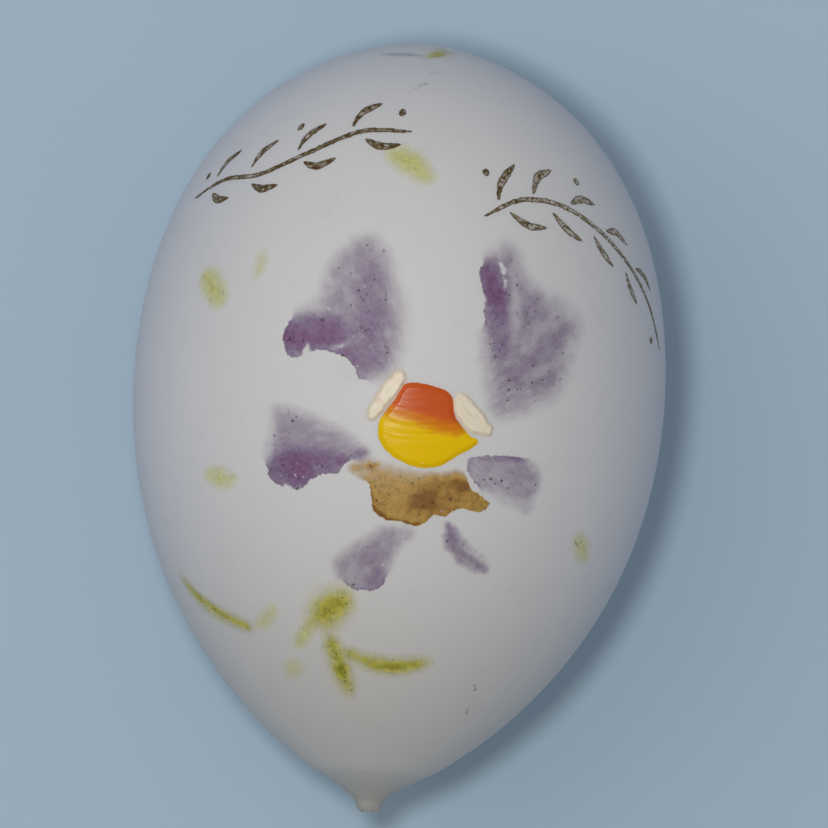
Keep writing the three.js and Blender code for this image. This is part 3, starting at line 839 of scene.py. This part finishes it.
def eye_material():
    """Thick paint, orange at the top and pulled down into wet yellow, with painted glints of pale yellow."""
    material, tree, shader = new_material("eye_paint")
    place = object_place(tree)
    blend = attribute(tree, "blend").outputs["Fac"]
    brush = attribute(tree, "brush").outputs["Vector"]
    depth = attribute(tree, "depth").outputs["Fac"]
    bristles = grain(tree, brush, 0.8 * mm, detail=5, roughness=0.62)
    clouds = grain(tree, place, 2.4 * mm, detail=3)
    marbling = calculate(tree, "MULTIPLY_ADD", bristles, 0.35, calculate(tree, "MULTIPLY", clouds, 0.25))
    marbled = calculate(tree, "ADD", blend, calculate(tree, "SUBTRACT", marbling, 0.3))
    orange = mixed(tree, clouds, colour(218, 102, 48), colour(204, 82, 36))
    amber = mixed(tree, bristles, colour(212, 112, 26), colour(234, 142, 30))
    yellow = mixed(tree, bristles, colour(240, 190, 0), colour(248, 210, 0))
    warm = mixed(tree, step_up(tree, marbled, 0.14, 0.44), orange, amber)
    tint = mixed(tree, step_up(tree, marbled, 0.44, 0.88), warm, yellow)
    lip = calculate(tree, "SUBTRACT", 1, step_up(tree, depth, -0.2 * mm, 0.5 * mm))
    edged = mixed(tree, calculate(tree, "MULTIPLY", lip, 0.2), tint, colour(214, 120, 40))
    # Painted glints: small pale-yellow spots stand in for highlights on the wet paint.
    painted_glints = spots(tree, place, 1.5 * mm, 0.6 * mm, 0.45)
    with_painted_glints = mixed(tree, calculate(tree, "MULTIPLY", painted_glints, 0.5), edged, colour(255, 226, 120))
    tree.links.new(with_painted_glints, shader.inputs["Base Color"])
    shader.inputs["Roughness"].default_value = 0.22
    shader.inputs["Specular IOR Level"].default_value = 0.18
    lumps = calculate(tree, "MULTIPLY_ADD", bristles, 0.7, painted_glints)
    tree.links.new(bump(tree, lumps, 0.09 * mm, 0.8), shader.inputs["Normal"])
    return material


def cream_material():
    """Thick stiff cream paint with the ridges of the brush in it."""
    material, tree, shader = new_material("cream_paint")
    place = object_place(tree)
    brush = attribute(tree, "brush").outputs["Vector"]
    depth = attribute(tree, "depth").outputs["Fac"]
    bristles = grain(tree, brush, 0.5 * mm, detail=4)
    dirt = spots(tree, place, 1.2 * mm, 0.35 * mm, 0.5)
    cream = mixed(tree, step_up(tree, bristles, 0.35, 0.65), colour(240, 226, 196), colour(248, 238, 216))
    blush = mixed(tree, step_up(tree, grain(tree, place, 3 * mm), 0.5, 0.8), cream, colour(236, 206, 178))
    rim = calculate(tree, "SUBTRACT", 1, step_up(tree, depth, -0.1 * mm, 0.4 * mm))
    edged = mixed(tree, calculate(tree, "MULTIPLY", rim, 0.4), blush, colour(206, 184, 160))
    dirty = mixed(tree, calculate(tree, "MULTIPLY", dirt, 0.4), edged, colour(150, 110, 90))
    tree.links.new(dirty, shader.inputs["Base Color"])
    shader.inputs["Roughness"].default_value = 0.42
    tree.links.new(bump(tree, bristles, 0.06 * mm, 0.8), shader.inputs["Normal"])
    return material


def gilt_material():
    """Bronze-powder gilt: dark along the strokes' edges, rubbed thin inside them and most on the right."""
    material, tree, shader = new_material("gilt")
    place = object_place(tree)
    brush = attribute(tree, "brush").outputs["Vector"]
    depth = attribute(tree, "depth").outputs["Fac"]
    rightward = add(tree, "SeparateXYZ", {0: place}).outputs["X"]
    worn = step_up(tree, rightward, 5 * mm, 35 * mm)
    bristles = grain(tree, brush, 0.35 * mm, detail=4)
    wear = calculate(tree, "MULTIPLY_ADD", worn, 0.07, grain(tree, place, 0.9 * mm, detail=5, roughness=0.7))
    middle = step_up(tree, depth, 0.10 * mm, 0.30 * mm)
    rubbed = calculate(tree, "MULTIPLY", middle, step_up(tree, wear, 0.44, 0.56))
    dark = mixed(tree, bristles, colour(78, 56, 28), colour(112, 82, 40))
    tint = mixed(tree, rubbed, dark, colour(148, 128, 78))
    tree.links.new(tint, shader.inputs["Base Color"])
    bare = calculate(tree, "MULTIPLY", rubbed, step_up(tree, bristles, 0.40, 0.58))
    flakes = step_up(tree, grain(tree, place, 0.5 * mm, detail=3, roughness=0.6), 0.54, 0.62)
    flaked = calculate(tree, "MULTIPLY", flakes, calculate(tree, "MULTIPLY_ADD", worn, 0.65, 0.25))
    edge = step_up(tree, depth, -0.08 * mm, 0.06 * mm)
    whole = calculate(tree, "MULTIPLY", edge, calculate(tree, "SUBTRACT", 1, flaked))
    opacity = calculate(tree, "MULTIPLY", whole, calculate(tree, "MULTIPLY_ADD", bare, -0.8, 1))
    tree.links.new(opacity, shader.inputs["Alpha"])
    shader.inputs["Metallic"].default_value = 0.4
    rough = add(tree, "MapRange", {"Value": wear, "To Min": 0.32, "To Max": 0.6}).outputs[0]
    tree.links.new(rough, shader.inputs["Roughness"])
    tree.links.new(bump(tree, bristles, 0.06 * mm, 0.7), shader.inputs["Normal"])
    return material


paint_materials = {
    "violet_wash": wash_material(
        "violet_wash", thin=colour(144, 116, 160), thick=colour(138, 98, 136), speck=colour(62, 38, 58),
        cover=0.98, streaks=1.7, dirt=0.6,
    ),
    "ochre_wash": wash_material(
        "ochre_wash", thin=colour(214, 170, 82), thick=colour(142, 97, 37), speck=colour(84, 54, 26),
        cover=1.9, streaks=0.5, dirt=0.1,
    ),
    "green_wash": wash_material(
        "green_wash", thin=colour(226, 218, 74), thick=colour(158, 152, 32), speck=colour(84, 78, 30),
        cover=1.2, streaks=1.0, dirt=0.6,
    ),
    "pale_green_wash": wash_material(
        "pale_green_wash", thin=colour(240, 238, 112), thick=colour(204, 200, 74), speck=colour(140, 136, 70),
        cover=1.0, streaks=0.5, dirt=0.2,
    ),
    "lilac_line": wash_material(
        "lilac_line", thin=colour(160, 148, 172), thick=colour(128, 118, 138), speck=colour(90, 80, 100),
        cover=1.0, streaks=0.5, dirt=0.3,
    ),
    "eye_paint": eye_material(),
    "cream_paint": cream_material(),
    "gilt": gilt_material(),
}


# ---------------------------------------------------------------- the scene

def floor(lowest):
    """A sheet of pale card under the egg, at the height of its lowest point."""
    reach = 3
    mesh = bpy.data.meshes.new("card")
    turns = ((-1, -1), (1, -1), (1, 1), (-1, 1))
    corners = [(reach * x, reach * y, lowest) for x, y in turns]
    mesh.from_pydata(corners, [], [(0, 1, 2, 3)])
    material, tree, shader = new_material("card")
    place = object_place(tree)
    fibres = grain(tree, place, 0.4 * mm, detail=3)
    tint = mixed(tree, grain(tree, place, 60 * mm), colour(180, 204, 220), colour(176, 201, 218))
    tree.links.new(tint, shader.inputs["Base Color"])
    tree.links.new(bump(tree, fibres, 0.03 * mm, 0.5), shader.inputs["Normal"])
    shader.inputs["Roughness"].default_value = 0.7
    mesh.materials.append(material)
    card = bpy.data.objects.new("card", mesh)
    bpy.context.scene.collection.objects.link(card)


def aimed(thing, at, toward, up):
    """Places a camera or light and turns it to look toward a point, with up upwards in its view."""
    back = (Vector(at) - Vector(toward)).normalized()
    right = Vector(up).cross(back).normalized()
    turn = Matrix((right, back.cross(right), back)).transposed()
    thing.matrix_world = Matrix.Translation(at) @ turn.to_4x4()
    bpy.context.scene.collection.objects.link(thing)


VIEW_DISTANCE = 4  # far off, so that the near side isn't magnified
VIEW_HEIGHT = 163.6 * mm  # what the picture takes in from top to bottom at the egg
VIEW_LEAN = math.radians(4.2)  # how far the egg leans to the right in the picture
VIEW_OFFSET = (3.4 * mm, 2.7 * mm)  # of the picture's middle from the egg's, to the right and up
SENSOR = 36  # mm
LIT_POINT = (0, 0, 0.05)
LIGHT_UP = (0, 1, 0.1)


def camera():
    """Looks straight down on the painted side from far off."""
    axis, right, up = (Vector(egg[name]) for name in ("axis", "right", "up"))
    picture_up = axis * math.cos(VIEW_LEAN) - right * math.sin(VIEW_LEAN)
    picture_right = axis * math.sin(VIEW_LEAN) + right * math.cos(VIEW_LEAN)
    centre = Vector(egg["middle"]) - axis * STUB_REACH / 2
    toward = centre + picture_right * VIEW_OFFSET[0] + picture_up * VIEW_OFFSET[1]
    data = bpy.data.cameras.new("camera")
    data.sensor_width = SENSOR
    data.lens = SENSOR * VIEW_DISTANCE / VIEW_HEIGHT
    eye = bpy.data.objects.new("camera", data)
    aimed(eye, toward + up * VIEW_DISTANCE, toward, picture_up)
    bpy.context.scene.camera = eye


def light(name, at, size, watts, tint):
    """A round soft light turned towards the egg."""
    data = bpy.data.lights.new(name, "AREA")
    data.shape = "DISK"
    data.size = size
    data.energy = watts
    data.color = tint
    aimed(bpy.data.objects.new(name, data), Vector(at), LIT_POINT, LIGHT_UP)


def room():
    """Soft, even light from above and less of it from the sides."""
    world = bpy.data.worlds.new("room")
    bpy.context.scene.world = world
    world.use_nodes = True
    tree = world.node_tree
    up = add(tree, "SeparateXYZ", {0: add(tree, "TexCoord").outputs["Generated"]}).outputs["Z"]
    sky = mixed(tree, step_up(tree, up, 0.0, 0.9), (0.25, 0.28, 0.42, 1), (0.60, 0.59, 0.57, 1))
    background = tree.nodes["Background"]
    tree.links.new(sky, background.inputs["Color"])
    background.inputs["Strength"].default_value = 0.6


camera()
shell = glass_egg()
for seed, row in enumerate(frame["record"]["subparts"]):
    if row["node"] != "glass_shell":
        slot = row["material_slot"]
        paint_film(row["node"], slot, paint_materials[slot], seed)
floor(min(v.co.z for v in shell.data.vertices))
light("lamp", at=(-0.07, -0.04, 1.2), size=0.12, watts=3.8, tint=(1.0, 0.985, 0.96))
light("window", at=(-0.5, 0.25, 0.9), size=0.9, watts=1.4, tint=(1.0, 0.99, 0.97))
room()
bpy.context.scene.view_settings.view_transform = "Standard"
